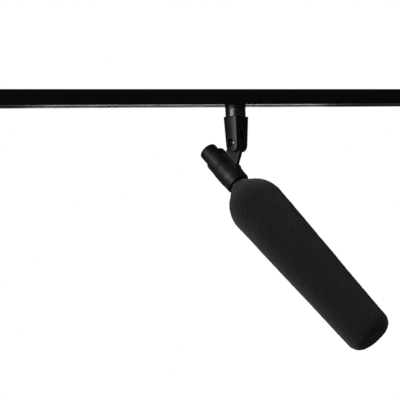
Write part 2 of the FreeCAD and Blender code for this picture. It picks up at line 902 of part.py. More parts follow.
def clip_body():
    """Split sleeve with the lug that fits between the fork's ears."""
    sleeve = clip_sleeve()
    boss = rod(
        "ClipBoss",
        ("0", "-Dims.lug_thickness / 2", "0"),
        "Dims.boss_radius",
        "Dims.lug_thickness",
        "Y",
    )
    root = SLEEVE_AXIS + " + Dims.clip_radius - Dims.foot_sink"
    web = extruded(
        "ClipWeb",
        "XZ_Plane",
        [
            ("-Dims.boss_radius * cos(10)", "-Dims.boss_radius * sin(10)"),
            ("-Dims.lug_root_back", root),
            ("Dims.lug_root_front", root),
            ("Dims.lug_front", "-Dims.lug_front_drop"),
            ("Dims.lug_shoulder", "0"),
            ("Dims.boss_radius * cos(40)", "Dims.boss_radius * sin(40)"),
        ],
        "Dims.lug_thickness",
    )
    base = "Dims.foot_base_width / 2"
    top = "Dims.foot_top_width / 2"
    foot_low = SLEEVE_AXIS + " + Dims.clip_radius - 2 * Dims.foot_sink"
    foot_top = SLEEVE_AXIS + " + Dims.clip_radius + Dims.foot_rise"
    foot = extruded(
        "ClipFoot",
        "YZ_Plane",
        [("-" + base, foot_low), (base, foot_low), (top, foot_top), ("-" + top, foot_top)],
        "Dims.foot_front + Dims.foot_back",
    )
    bind(foot, {"Placement": spot("(Dims.foot_front - Dims.foot_back) / 2", "0", "0")})
    whole = join("ClipWhole", sleeve, boss, web, foot)
    bore = rod("ClipBore", ("-%s" % FAR, "0", "-Dims.axis_drop"), "Dims.clip_bore", "2 * " + FAR, "X")
    pivot_start = ("0", "-%s / 2" % FAR, "0")
    pivot = rod("ClipPivotBore", pivot_start, "Dims.bolt_radius + Dims.bolt_play", FAR, "Y")
    split = block(
        "ClipSplit",
        ("-" + FAR, "-Dims.clip_split / 2", "-Dims.axis_drop - " + FAR),
        ("2 * " + FAR, "Dims.clip_split", FAR),
    )
    node(cut("Clip", whole, bore, pivot, split), "clip_body", CLIP_FRAME)


# ---------------------------------------------------------------- microphone


def barrel_tube():
    """Rear body of the microphone, open at the tail for the connector."""
    tail = "-Dims.tail_end"
    groove = tail + " + Dims.tail_groove"
    floor = "Dims.barrel_radius - Dims.tail_groove_depth"
    corners = [
        (tail, "Dims.barrel_bore"),
        (tail, "Dims.barrel_radius - Dims.tail_edge * 0.6"),
        (tail + " + Dims.tail_edge * 0.35", "Dims.barrel_radius - Dims.tail_edge * 0.2"),
        (tail + " + Dims.tail_edge", "Dims.barrel_radius"),
        (groove, "Dims.barrel_radius"),
        (groove + " + Dims.tail_groove_width * 0.2", floor),
        (groove + " + Dims.tail_groove_width * 0.8", floor),
        (groove + " + Dims.tail_groove_width", "Dims.barrel_radius"),
        ("Dims.barrel_front", "Dims.barrel_radius"),
        ("Dims.barrel_front", "Dims.barrel_bore"),
    ]
    tube = turned("Barrel", corners, "X")
    screw_hole = rod(
        "BarrelScrewHole",
        (SET_SCREW_X, "0", "-" + FAR),
        "Dims.set_screw_radius + Dims.set_screw_play",
        FAR,
        "Z",
    )
    node(cut("BarrelTube", tube, screw_hole), "barrel_tube", BARREL_FRAME)


def connector():
    """Three-pin connector in the tail: insert, pins and the screw that holds it."""
    radius = "(Dims.barrel_bore - Dims.inner_play)"
    back = "-Dims.insert_back"
    disc = rod("InsertDisc", (back, "0", "0"), radius, "Dims.insert_thickness", "X")
    seat = rod(
        "InsertSeat",
        (SET_SCREW_X, "0", "-%s + Dims.set_screw_bite + Dims.screw_play - %s" % (radius, FAR)),
        "Dims.set_screw_radius + Dims.set_screw_play",
        FAR,
        "Z",
    )

    def pins(prefix, play):
        return [
            rod(
                "%s%d" % (prefix, angle),
                (
                    back + " - Dims.pin_reach",
                    "Dims.pin_circle * cos(%d)" % angle,
                    "Dims.pin_circle * sin(%d)" % angle,
                ),
                "Dims.pin_radius + " + play,
                "Dims.pin_reach + Dims.insert_thickness + Dims.pin_tail",
                "X",
            )
            for angle in (90, 210, 330)
        ]

    holes = pins("PinHole", "Dims.pin_play")
    node(cut("ConnectorInsert", disc, seat, *holes), "connector_insert", BARREL_FRAME)
    node(group("ContactPins", *pins("Pin", "0 * Dims.pin_play")), "contact_pins", BARREL_FRAME)
    top = "-%s + Dims.set_screw_bite" % radius
    screw = rod(
        "SetScrewBlank",
        (SET_SCREW_X, "0", top + " - Dims.set_screw_length"),
        "Dims.set_screw_radius",
        "Dims.set_screw_length",
        "Z",
    )
    notch = block(
        "SetScrewNotch",
        (
            SET_SCREW_X + " - 2 * Dims.set_screw_radius",
            "-Dims.set_screw_slot / 2",
            top + " - Dims.set_screw_length - Dims.set_screw_slot",
        ),
        ("4 * Dims.set_screw_radius", "Dims.set_screw_slot", "2 * Dims.set_screw_slot"),
    )
    node(cut("SetScrew", screw, notch), "set_screw", BARREL_FRAME)


def electronics():
    """Circuit board and output transformer in the rear body."""
    start = "(-Dims.insert_back + Dims.insert_thickness + Dims.board_gap)"
    board = block(
        "CircuitBoard",
        (start, "-Dims.board_width / 2", "Dims.board_rise"),
        ("Dims.board_length", "Dims.board_width", "Dims.board_thickness"),
    )
    chips = [
        block(
            end + "Chip",
            (
                "%s + Dims.%s_chip_place" % (start, end),
                "-Dims.%s_chip_width / 2" % end,
                "Dims.board_rise - Dims.%s_chip_height" % end,
            ),
            (
                "Dims.%s_chip_length" % end,
                "Dims.%s_chip_width" % end,
                "Dims.%s_chip_height + Dims.board_thickness / 2" % end,
            ),
        )
        for end in ("front", "rear")
    ]
    node(join("BoardAssembly", board, *chips), "circuit_board", BARREL_FRAME)
    place = "(%s + Dims.transformer_place)" % start
    drop = "Dims.transformer_drop"
    radius = "Dims.transformer_radius"
    length = "Dims.transformer_length"
    can = rod("TransformerCan", (place, "0", "-" + drop), radius, length, "X")
    node(group("Transformer", can), "output_transformer", BARREL_FRAME)


def capsule():
    """Capsule whose cup also joins the two tubes: cup, diaphragm, spacer and back plate."""
    back = "(Dims.barrel_front - Dims.capsule_skirt)"
    front = "(Dims.barrel_front + Dims.capsule_length)"
    bore = "Dims.capsule_radius - Dims.capsule_wall"
    opening = "Dims.capsule_radius - Dims.capsule_rim"
    cup = [
        (back, bore),
        (back, "Dims.capsule_radius"),
        (front, "Dims.capsule_radius"),
        (front, opening),
        (front + " - Dims.capsule_wall", opening),
        (front + " - Dims.capsule_wall", bore),
    ]
    node(turned("CapsuleCup", cup, "X"), "capsule_cup", BARREL_FRAME)
    inner = bore + " - Dims.capsule_play"
    film_front = "(%s - Dims.capsule_wall - Dims.capsule_play)" % front
    film_back = "(%s - Dims.diaphragm_thickness)" % film_front
    film = rod("DiaphragmDisc", (film_back, "0", "0"), inner, "Dims.diaphragm_thickness", "X")
    node(group("Diaphragm", film), "diaphragm", BARREL_FRAME)
    plate_back = "(%s - 2 * Dims.capsule_play - Dims.backplate_thickness)" % film_back
    plate = rod("BackPlateDisc", (plate_back, "0", "0"), inner, "Dims.backplate_thickness", "X")
    holes = [
        rod(
            "BackPlateHole%d" % i,
            (
                plate_back + " - Dims.backplate_thickness",
                "Dims.backplate_circle * cos(%d)" % (60 * i),
                "Dims.backplate_circle * sin(%d)" % (60 * i),
            ),
            "Dims.backplate_hole",
            "3 * Dims.backplate_thickness",
            "X",
        )
        for i in range(6)
    ]
    node(cut("BackPlate", plate, *holes), "back_plate", BARREL_FRAME)
    ring_back = plate_back + " - Dims.spacer_thickness"
    ring_bore = bore + " - Dims.spacer_wall"
    spacer = tube_corners(ring_back, plate_back, inner, ring_bore, "0.1")
    node(turned("Spacer", spacer, "X"), "insulating_ring", BARREL_FRAME)


def interference_tube():
    """Slotted front tube, its acoustic cloth and the nose grille."""
    back = "Dims.barrel_front"
    corners = [
        (back, "Dims.tube_bore"),
        (back, "Dims.barrel_radius"),
        ("Dims.tube_front", "Dims.barrel_radius"),
        ("Dims.tube_front", "Dims.tube_bore"),
    ]
    body = turned("SlottedTube", corners, "X")
    doc.recompute()
    before = body.Shape.Volume
    x = "Dims.vent_start"
    width = "Dims.vent_width / 2"
    vent = [
        (x, "-" + width),
        (x + " + Dims.vent_length", "-" + width),
        (x + " + Dims.vent_length", width),
        (x, width),
    ]
    sketch = outline_sketch(body, "XZ_Plane", "VentOutline", vent)
    pocket = body.newObject("PartDesign::Pocket", "Vent")
    pocket.Profile = sketch
    pocket.SideType = "Symmetric"
    bind(pocket, {"Length": FAR})
    pattern = body.newObject("PartDesign::LinearPattern", "Vents")
    pattern.Originals = [pocket]
    pattern.Direction = (sketch, ["H_Axis"])
    bind(pattern, {"Length": "Dims.vent_pitch * (Dims.vent_count - 1)", "Occurrences": "Dims.vent_count"})
    body.Tip = pattern
    doc.recompute()
    assert body.Shape.Volume < before, "the vents cut nothing"
    node(body, "interference_tube", BARREL_FRAME)
    outer = "Dims.tube_bore - Dims.capsule_play"
    inner = outer + " - Dims.cloth_thickness"
    cloth = tube_corners("Dims.cloth_back", "Dims.cloth_front", outer, inner, "0.05")
    node(turned("AcousticCloth", cloth, "X"), "acoustic_cloth", BARREL_FRAME)
    nose_grille()


def nose_grille():
    """Pierced cap on the slotted tube's front end."""
    back = "Dims.tube_front"
    front = "Dims.tube_front + Dims.nose_length"
    nose = [
        (back, "0"),
        (back, "Dims.barrel_radius"),
        (front + " - Dims.nose_edge", "Dims.barrel_radius"),
        (front + " - Dims.nose_edge * 0.3", "Dims.barrel_radius - Dims.nose_edge * 0.3"),
        (front, "Dims.barrel_radius - Dims.nose_edge"),
        (front, "0"),
    ]
    places = [("0", "0")]
    for i in range(8):
        ring = "Dims.nose_hole_circle * %s(" + str(45 * i) + ")"
        places.append((ring % "cos", ring % "sin"))
    holes = [
        rod("NoseHole%d" % i, (back + " - 1", y, z), "Dims.nose_hole_radius", FAR, "X")
        for i, (y, z) in enumerate(places)
    ]
    node(cut("NoseGrille", turned("NoseBlank", nose, "X"), *holes), "nose_grille", BARREL_FRAME)


# ---------------------------------------------------------------- windscreen


def ellipse_arc(centre, along, across, first, last):
    """Arc of an ellipse in the XZ plane, between two angles in degrees from +X."""
    turn = FreeCAD.Rotation(FreeCAD.Vector(1, 0, 0), 90)
    points = []
    for i in range(3):
        angle = math.radians(first + (last - first) * i / 2)
        x = centre[0] + along * math.cos(angle)
        z = centre[1] + across * math.sin(angle)
        points.append(FreeCAD.Vector(x, 0, z))
    if abs(along - across) < 1e-9:
        return Part.Arc(*points).toShape()
    ellipse = Part.Ellipse(FreeCAD.Vector(0, 0, 0), max(along, across), min(along, across))
    low, high = sorted((math.radians(first), math.radians(last)))
    arc = ellipse.toShape(low, high)
    arc.Placement = FreeCAD.Placement(FreeCAD.Vector(centre[0], 0, centre[1]), turn)
    return arc


def windscreen(sheet):
    """Foam sleeve: a cone and an elliptical dome at the back, a gentle taper and a rounded end."""
    radius = sheet.foam_radius
    centre = sheet.foam_dome_centre
    length = sheet.foam_dome_length
    bore = sheet.foam_bore
    mouth_radius = bore + sheet.foam_mouth_lip
    join_x = sheet.foam_cone_front
    join_angle = math.acos((join_x - centre) / length)
    join_radius = radius * math.sin(join_angle)
    slope = -radius / length / math.tan(join_angle)
    mouth_x = join_x - (join_radius - mouth_radius) / slope
    edge = sheet.foam_end_edge
    end = sheet.foam_end
    tip_radius = sheet.foam_end_radius
    dome = ellipse_arc((centre, 0), length, radius, 90, math.degrees(join_angle))
    corner = ellipse_arc((end - edge, tip_radius - edge), edge, edge, 0, 90)

    def line(start, stop):
        low = FreeCAD.Vector(start[0], 0, start[1])
        high = FreeCAD.Vector(stop[0], 0, stop[1])
        return Part.LineSegment(low, high).toShape()

    edges = [
        line((mouth_x, mouth_radius), (join_x, join_radius)),
        dome,
        line((centre, radius), (end - edge, tip_radius)),
        corner,
        line((end, tip_radius - edge), (end, 0)),
        line((end, 0), (sheet.foam_bore_end, 0)),
        line((sheet.foam_bore_end, 0), (sheet.foam_bore_end, bore)),
        line((sheet.foam_bore_end, bore), (mouth_x, bore)),
        line((mouth_x, bore), (mouth_x, mouth_radius)),
    ]
    face = Part.Face(Part.Wire(Part.__sortEdges__(edges)))
    foam = doc.addObject("Part::Feature", "Windscreen")
    foam.Shape = face.revolve(FreeCAD.Vector(0, 0, 0), FreeCAD.Vector(1, 0, 0), 360)
    node(foam, "foam_windscreen", BARREL_FRAME)


# ---------------------------------------------------------------- build and export


def build():
    sheet = make_sheet()
    track_profile()
    track_liners()
    end_cap()
    feed_housing()
    feed_cover()
    cable_grommet()
    terminal_block()
    carriage()
    lock_ring()
    fork_body()
    thread_bush()
    pivot_hardware()
    clip_body()
    barrel_tube()
    connector()
    electronics()
    capsule()
    interference_tube()
    windscreen(sheet)
    doc.recompute()


def check():
    """Stops if any object failed or any sub-part is not a sound solid."""
    for item in doc.Objects:
        failed = {"Invalid", "Error"} & set(item.State)
        if failed:
            raise RuntimeError("%s is %s" % (item.Name, ", ".join(failed)))
    for item in nodes:
        if item.Shape.isNull() or not item.Shape.isValid() or not item.Shape.Solids:
            raise RuntimeError("%s has no valid solid" % item.Label)


def export():
    os.makedirs("parts", exist_ok=True)
    for item in nodes:
        item.Shape.exportStep("parts/%s.step" % item.Label)
        solids = len(item.Shape.Solids)
        print("%-24s %2d solids %10.1f mm3" % (item.Label, solids, item.Shape.Volume))


build()
check()
export()
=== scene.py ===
import json
import math

import bmesh
import bpy
from mathutils import Matrix, Vector, noise

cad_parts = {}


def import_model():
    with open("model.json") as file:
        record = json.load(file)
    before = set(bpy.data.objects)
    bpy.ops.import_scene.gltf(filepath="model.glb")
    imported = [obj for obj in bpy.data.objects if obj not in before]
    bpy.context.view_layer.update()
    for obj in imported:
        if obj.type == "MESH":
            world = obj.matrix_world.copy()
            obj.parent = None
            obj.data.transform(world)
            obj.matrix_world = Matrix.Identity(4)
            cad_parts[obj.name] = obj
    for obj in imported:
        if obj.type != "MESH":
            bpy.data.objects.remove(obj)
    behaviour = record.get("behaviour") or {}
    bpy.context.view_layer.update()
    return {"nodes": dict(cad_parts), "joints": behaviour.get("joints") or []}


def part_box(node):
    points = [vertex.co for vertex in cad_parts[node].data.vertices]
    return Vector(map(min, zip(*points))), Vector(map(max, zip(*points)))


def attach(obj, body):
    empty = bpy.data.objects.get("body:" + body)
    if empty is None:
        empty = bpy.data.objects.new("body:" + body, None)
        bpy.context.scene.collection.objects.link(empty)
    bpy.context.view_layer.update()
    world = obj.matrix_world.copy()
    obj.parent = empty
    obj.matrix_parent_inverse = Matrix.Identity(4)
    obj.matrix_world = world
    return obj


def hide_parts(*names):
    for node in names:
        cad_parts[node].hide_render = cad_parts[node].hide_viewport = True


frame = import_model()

MM = 0.001

# ---------------------------------------------------------------- places from the frame

joints = {joint["name"]: joint for joint in frame["joints"]}
PIVOT = Vector(joints["tilt"]["pos_m"])
FORWARD = Vector(joints["windscreen_pull"]["axis"]).normalized()
ACROSS = Vector(joints["tilt"]["axis"]).normalized()
UPWARD = FORWARD.cross(ACROSS)


def middle(node):
    """Centre of a CAD node's box."""
    low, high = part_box(node)
    return (Vector(low) + Vector(high)) / 2


# BARREL is the point of the barrel's axis that lies level with the pivot along the barrel.
ON_AXIS = middle("interference_tube")
BARREL = ON_AXIS - FORWARD * (ON_AXIS - PIVOT).dot(FORWARD)
BARREL_FRAME = Matrix.Translation(BARREL) @ Matrix((FORWARD, ACROSS, UPWARD)).transposed().to_4x4()


# ---------------------------------------------------------------- node-tree helpers


def new_material(name, color, roughness, metallic=0.0, specular=0.5):
    """A Principled material, and its tree, shader and object coordinates."""
    material = bpy.data.materials.new(name)
    material.use_nodes = True
    tree = material.node_tree
    shader = tree.nodes["Principled BSDF"]
    shader.inputs["Base Color"].default_value = (*color, 1)
    shader.inputs["Roughness"].default_value = roughness
    shader.inputs["Metallic"].default_value = metallic
    shader.inputs["Specular IOR Level"].default_value = specular
    place = tree.nodes.new("ShaderNodeTexCoord").outputs["Object"]
    return material, tree, shader, place


def stretched(tree, place, scale):
    """The coordinates scaled by a different factor on each axis."""
    mapping = tree.nodes.new("ShaderNodeMapping")
    mapping.inputs["Scale"].default_value = scale
    tree.links.new(place, mapping.inputs["Vector"])
    return mapping.outputs["Vector"]


def noise_value(tree, place, size, detail=2.0, roughness=0.5):
    """Noise from 0 to 1 with features of about this size in metres."""
    node = tree.nodes.new("ShaderNodeTexNoise")
    node.inputs["Scale"].default_value = 1 / size
    node.inputs["Detail"].default_value = detail
    node.inputs["Roughness"].default_value = roughness
    tree.links.new(place, node.inputs["Vector"])
    return node.outputs["Fac"]


def cell_value(tree, place, size, feature="F1"):
    """Distance in a cell pattern with cells of about this size in metres."""
    node = tree.nodes.new("ShaderNodeTexVoronoi")
    node.feature = feature
    node.inputs["Scale"].default_value = 1 / size
    tree.links.new(place, node.inputs["Vector"])
    return node.outputs["Distance"]


def ramp(tree, value, low, high, start=0.3, stop=0.7):
    """Maps a value onto the range from low to high."""
    node = tree.nodes.new("ShaderNodeMapRange")
    node.inputs["From Min"].default_value = start
    node.inputs["From Max"].default_value = stop
    node.inputs["To Min"].default_value = low
    node.inputs["To Max"].default_value = high
    tree.links.new(value, node.inputs["Value"])
    return node.outputs["Result"]


def color_mix(tree, mode="MIX"):
    """A node that mixes two colours."""
    node = tree.nodes.new("ShaderNodeMix")
    node.data_type = "RGBA"
    node.blend_type = mode
    return node


def blend_colors(tree, value, first, second):
    """Colour between first and second, by a value from 0 to 1."""
    node = color_mix(tree)
    node.inputs["A"].default_value = (*first, 1)
    node.inputs["B"].default_value = (*second, 1)
    tree.links.new(value, node.inputs["Factor"])
    return node.outputs["Result"]


def add_bump(tree, shader, height, depth, strength=1.0):
    """Bump of this depth in metres, on top of any the shader has."""
    node = tree.nodes.new("ShaderNodeBump")
    node.inputs["Strength"].default_value = strength
    node.inputs["Distance"].default_value = depth
    tree.links.new(height, node.inputs["Height"])
    earlier = shader.inputs["Normal"].links
    if earlier:
        tree.links.new(earlier[0].from_socket, node.inputs["Normal"])
    tree.links.new(node.outputs["Normal"], shader.inputs["Normal"])


def vary_color(tree, shader, value, first, second):
    """Base colour between first and second, by a value from 0 to 1."""
    tree.links.new(blend_colors(tree, value, first, second), shader.inputs["Base Color"])


def vary_roughness(tree, shader, value, low, high):
    """Roughness between low and high, by a noise value."""
    tree.links.new(ramp(tree, value, low, high), shader.inputs["Roughness"])


# ---------------------------------------------------------------- materials


def powder_coat():
    """Satin black powder coat with a fine orange peel."""
    black = (0.0015, 0.0015, 0.0016)
    material, tree, shader, place = new_material("powder_coat", black, 0.3, specular=0.3)
    peel = noise_value(tree, place, 0.9 * MM, detail=3)
    add_bump(tree, shader, peel, 0.02 * MM, 0.5)
    cloud = noise_value(tree, place, 22 * MM, detail=4)
    vary_roughness(tree, shader, cloud, 0.25, 0.36)
    return material


def moulded_plastic(
    name,
    color=(0.012, 0.012, 0.0125),
    low=0.38,
    high=0.5,
    specular=0.45,
    grain_size=0.35 * MM,
):
    """Black moulded plastic with fine spark texture, its roughness between low and high."""
    material, tree, shader, place = new_material(name, color, 0.45, specular=specular)
    add_bump(tree, shader, noise_value(tree, place, grain_size), 0.03 * MM, 0.6)
    cloud = noise_value(tree, place, 9 * MM, detail=4)
    vary_roughness(tree, shader, cloud, low, high)
    lighter = tuple(c * 1.5 for c in color)
    vary_color(tree, shader, ramp(tree, cloud, 0, 1), color, lighter)
    return material


def turned_metal(name, color, low=0.16, high=0.3):
    """Lathe-turned metal: fine rings round Z."""
    material, tree, shader, place = new_material(name, color, 0.22, metallic=1.0)
    rings = noise_value(tree, stretched(tree, place, (0.05, 0.05, 1)), 0.16 * MM)
    add_bump(tree, shader, rings, 0.01 * MM, 0.6)
    cloud = noise_value(tree, place, 3 * MM, detail=3)
    vary_roughness(tree, shader, cloud, low, high)
    return material


def plain_metal(name, color, low=0.2, high=0.36):
    """Drawn or plated metal with faint blotches."""
    material, tree, shader, place = new_material(name, color, 0.3, metallic=1.0)
    cloud = noise_value(tree, place, 2.5 * MM, detail=4)
    vary_roughness(tree, shader, cloud, low, high)
    duller = tuple(c * 0.82 for c in color)
    vary_color(tree, shader, cloud, duller, color)
    add_bump(tree, shader, noise_value(tree, place, 0.25 * MM), 0.006 * MM, 0.5)
    return material


def anodised():
    """Bead-blasted black anodised aluminium."""
    black = (0.008, 0.008, 0.0084)
    material, tree, shader, place = new_material("black_anodised", black, 0.42, specular=0.3)
    add_bump(tree, shader, noise_value(tree, place, 0.14 * MM), 0.012 * MM, 0.7)
    cloud = noise_value(tree, place, 12 * MM, detail=3)
    vary_roughness(tree, shader, cloud, 0.36, 0.48)
    return material


def pale_plastic():
    """Off-white moulded plastic."""
    material, tree, shader, place = new_material("pale_plastic", (0.72, 0.72, 0.69), 0.45)
    add_bump(tree, shader, noise_value(tree, place, 0.4 * MM), 0.02 * MM, 0.5)
    cloud = noise_value(tree, place, 6 * MM, detail=3)
    vary_color(tree, shader, cloud, (0.62, 0.62, 0.58), (0.8, 0.8, 0.78))
    return material


def soft_rubber():
    """Matte black rubber."""
    black = (0.014, 0.014, 0.014)
    material, tree, shader, place = new_material("soft_rubber", black, 0.7, specular=0.35)
    add_bump(tree, shader, noise_value(tree, place, 0.3 * MM, detail=3), 0.03 * MM, 0.6)
    cloud = noise_value(tree, place, 5 * MM, detail=3)
    vary_roughness(tree, shader, cloud, 0.6, 0.8)
    return material


def woven_cloth():
    """Fine black acoustic cloth."""
    black = (0.02, 0.02, 0.02)
    material, tree, shader, place = new_material("acoustic_cloth", black, 0.9, specular=0.2)
    shader.inputs["Sheen Weight"].default_value = 0.3
    warp = noise_value(tree, stretched(tree, place, (1, 1, 0.2)), 0.3 * MM, detail=1)
    add_bump(tree, shader, warp, 0.05 * MM, 0.8)
    return material


def board_green():
    """Solder mask with faint tracks."""
    material, tree, shader, place = new_material("board_green", (0.02, 0.12, 0.05), 0.35)
    edges = cell_value(tree, stretched(tree, place, (1, 1, 0.6)), 2.2 * MM, "DISTANCE_TO_EDGE")
    tracks = ramp(tree, edges, 1, 0, start=0.06, stop=0.1)
    vary_color(tree, shader, tracks, (0.015, 0.1, 0.04), (0.05, 0.2, 0.09))
    add_bump(tree, shader, tracks, 0.04 * MM)
    return material


# Painted shade: the foam's cells are coloured darker in their hollows, where shade falls. The fibre noise
# and the mottle are random tone.
PIT_SHADE_COLOR = (0.006, 0.006, 0.0061)
SKIN_COLOR = (0.021, 0.021, 0.0213)
PIT_SHADE_SHARE = 0.6
FIBRE_SHARE = 0.4
MOTTLE_COLOR = (0.75, 0.75, 0.75)
WHITE = (1, 1, 1)
MOTTLE_STRENGTH = 0.5
# Painted shade: the foam's colour darkens to this near-black just past the mouth, where the clip shades
# it.
MOUTH_PAINTED_SHADE_COLOR = (0.002, 0.002, 0.002)
MOUTH_SHADE_START = 29 * MM
MOUTH_SHADE_LENGTH = 14 * MM


def foam_material():
    """Open-cell foam: dead matte, pitted all over, with a soft bright rim, painted shade in its pits and
    painted shade darkening it towards the mouth.
    """
    material, tree, shader, place = new_material("open_cell_foam", (0.02, 0.02, 0.02), 1.0, specular=0.15)
    shader.inputs["Diffuse Roughness"].default_value = 1.0
    shader.inputs["Sheen Weight"].default_value = 0.12
    shader.inputs["Sheen Roughness"].default_value = 0.55
    cells = cell_value(tree, place, 1.3 * MM)
    fibres = noise_value(tree, place, 0.7 * MM, detail=3, roughness=0.7)
    mottle = noise_value(tree, place, 9 * MM, detail=3)
    # Painted shade: this mask of the cells' hollows darkens the colour there, and it also sets their
    # bump.
    pits = ramp(tree, cells, 1, 0, start=0.15, stop=0.75)
    lightness = tree.nodes.new("ShaderNodeMath")
    lightness.operation = "MULTIPLY_ADD"
    tree.links.new(pits, lightness.inputs[0])
    lightness.inputs[1].default_value = PIT_SHADE_SHARE
    tree.links.new(ramp(tree, fibres, 0, FIBRE_SHARE), lightness.inputs[2])
    skin = color_mix(tree, "MULTIPLY")
    skin.inputs["Factor"].default_value = MOTTLE_STRENGTH
    pitted = blend_colors(tree, lightness.outputs[0], PIT_SHADE_COLOR, SKIN_COLOR)
    mottled = blend_colors(tree, ramp(tree, mottle, 0, 1), MOTTLE_COLOR, WHITE)
    tree.links.new(pitted, skin.inputs["A"])
    tree.links.new(mottled, skin.inputs["B"])
    # Painted shade: from MOUTH_SHADE_START the colour runs from the mouth's painted near-black up to the
    # foam's own colour, over MOUTH_SHADE_LENGTH.
    along = tree.nodes.new("ShaderNodeVectorMath")
    along.operation = "DOT_PRODUCT"
    along.inputs[1].default_value = FORWARD
    tree.links.new(place, along.inputs[0])
    start = FORWARD.dot(BARREL) + MOUTH_SHADE_START
    out_of_mouth = ramp(tree, along.outputs["Value"], 0, 1, start, start + MOUTH_SHADE_LENGTH)
    shaded = color_mix(tree)
    shaded.inputs["A"].default_value = (*MOUTH_PAINTED_SHADE_COLOR, 1)
    tree.links.new(out_of_mouth, shaded.inputs["Factor"])
    tree.links.new(skin.outputs["Result"], shaded.inputs["B"])
    tree.links.new(shaded.outputs["Result"], shader.inputs["Base Color"])
    add_bump(tree, shader, pits, 0.35 * MM, 0.7)
    add_bump(tree, shader, fibres, 0.25 * MM, 0.6)
    return material


# ---------------------------------------------------------------- mesh helpers


def new_piece(name, mesh, body, material):
    """Links a mesh as a smooth piece that rides on a body."""
    piece = bpy.data.objects.new(name, mesh)
    bpy.context.scene.collection.objects.link(piece)
    mesh.materials.clear()
    mesh.materials.append(material)
    mesh.shade_smooth()
    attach(piece, body)
    return piece


WELD_DISTANCE = 0.001 * MM


def remoulded(node, name, body, material, voxel, rounds):
    """A copy of a CAD node as one fine skin whose edges and inner corners are rounded."""
    mesh = frame["nodes"][node].data.copy()
    piece = new_piece(name, mesh, body, material)
    weld = bmesh.new()
    weld.from_mesh(mesh)
    bmesh.ops.remove_doubles(weld, verts=weld.verts, dist=WELD_DISTANCE)
    weld.to_mesh(mesh)
    weld.free()
    remesh = piece.modifiers.new("Remesh", "REMESH")
    remesh.mode = "VOXEL"
    remesh.voxel_size = voxel
    soften = piece.modifiers.new("Soften", "SMOOTH")
    soften.factor = 0.5
    soften.iterations = rounds
    depsgraph = bpy.context.evaluated_depsgraph_get()
    finished = bpy.data.meshes.new_from_object(piece.evaluated_get(depsgraph))
    piece.modifiers.clear()
    piece.data = finished
    finished.materials.clear()
    finished.materials.append(material)
    finished.shade_smooth()
    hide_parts(node)
    return piece


# ---------------------------------------------------------------- windscreen

# Lengths along the barrel are measured from BARREL.
FOAM_RADIUS = 27.85 * MM
FOAM_TIP_RADIUS = 21.95 * MM
FOAM_DOME_CENTRE = 64.3 * MM
FOAM_DOME_LENGTH = 32 * MM
FOAM_CONE_FRONT = 41 * MM
FOAM_END = 239.1 * MM
FOAM_EDGE = 10.8 * MM
FOAM_BORE = 9.85 * MM
FOAM_BORE_END = 228.6 * MM
FOAM_LIP = 0.5 * MM
FOAM_LIP_FADE = 3 * MM
FOAM_STEP = 0.85 * MM
FOAM_DOME_STEPS = 38
FOAM_BORE_STEPS = 60
FOAM_SEGMENTS = 204

# The relief of the foam's skin: how wide each kind of lump is, and how far it stands out.
SWELL_WIDTH = 26 * MM
SWELL_HEIGHT = 0.35 * MM
LUMP_WIDTH = 5.5 * MM
LUMP_HEIGHT = 0.16 * MM
GRAIN_WIDTH = 1.6 * MM
GRAIN_HEIGHT = 0.14 * MM
CELL_WIDTH = 2.1 * MM
CELL_DEPTH = 0.32 * MM
CELL_MIDDLE = 0.45


def foam_outline():
    """Profile from the mouth to the far face as (along, radius) points, roughly FOAM_STEP apart."""
    mouth_radius = FOAM_BORE + FOAM_LIP
    join = math.acos((FOAM_CONE_FRONT - FOAM_DOME_CENTRE) / FOAM_DOME_LENGTH)
    join_radius = FOAM_RADIUS * math.sin(join)
    slope = -FOAM_RADIUS / FOAM_DOME_LENGTH / math.tan(join)
    cone_length = (join_radius - mouth_radius) / slope
    tip_start = FOAM_END - FOAM_EDGE
    corners = []
    cone_steps = round(cone_length / FOAM_STEP)
    for i in range(cone_steps):
        back = cone_length * (1 - i / cone_steps)
        corners.append((FOAM_CONE_FRONT - back, join_radius - back * slope))
    for i in range(FOAM_DOME_STEPS):
        angle = join + (math.pi / 2 - join) * i / FOAM_DOME_STEPS
        along = FOAM_DOME_CENTRE + FOAM_DOME_LENGTH * math.cos(angle)
        corners.append((along, FOAM_RADIUS * math.sin(angle)))
    taper_steps = round((tip_start - FOAM_DOME_CENTRE) / FOAM_STEP)
    for i in range(taper_steps):
        part = i / taper_steps
        radius = FOAM_RADIUS + (FOAM_TIP_RADIUS - FOAM_RADIUS) * part
        corners.append((FOAM_DOME_CENTRE + (tip_start - FOAM_DOME_CENTRE) * part, radius))
    edge_steps = round(FOAM_EDGE * math.pi / 2 / FOAM_STEP)
    for i in range(edge_steps):
        angle = math.pi / 2 * i / edge_steps
        radius = FOAM_TIP_RADIUS - FOAM_EDGE + FOAM_EDGE * math.cos(angle)
        corners.append((tip_start + FOAM_EDGE * math.sin(angle), radius))
    face_steps = round((FOAM_TIP_RADIUS - FOAM_EDGE) / FOAM_STEP)
    for i in range(face_steps):
        corners.append((FOAM_END, (FOAM_TIP_RADIUS - FOAM_EDGE) * (1 - i / face_steps)))
    return corners


def bore_outline(mouth):
    """Profile of the bore, from the mouth to its closed end."""
    corners = []
    for i in range(FOAM_BORE_STEPS + 1):
        corners.append((mouth + (FOAM_BORE_END - mouth) * i / FOAM_BORE_STEPS, FOAM_BORE))
    corners.append((FOAM_BORE_END, FOAM_BORE / 2))
    return corners


def add_rings(shape, corners, centre):
    """Rings of vertices for the profile points, and the point on the axis that closes them."""
    rings = []
    for along, radius in corners:
        ring = []
        for i in range(FOAM_SEGMENTS):
            angle = 2 * math.pi * i / FOAM_SEGMENTS
            ring.append(shape.verts.new((along, radius * math.cos(angle), radius * math.sin(angle))))
        rings.append(ring)
    return rings, shape.verts.new((centre, 0, 0))


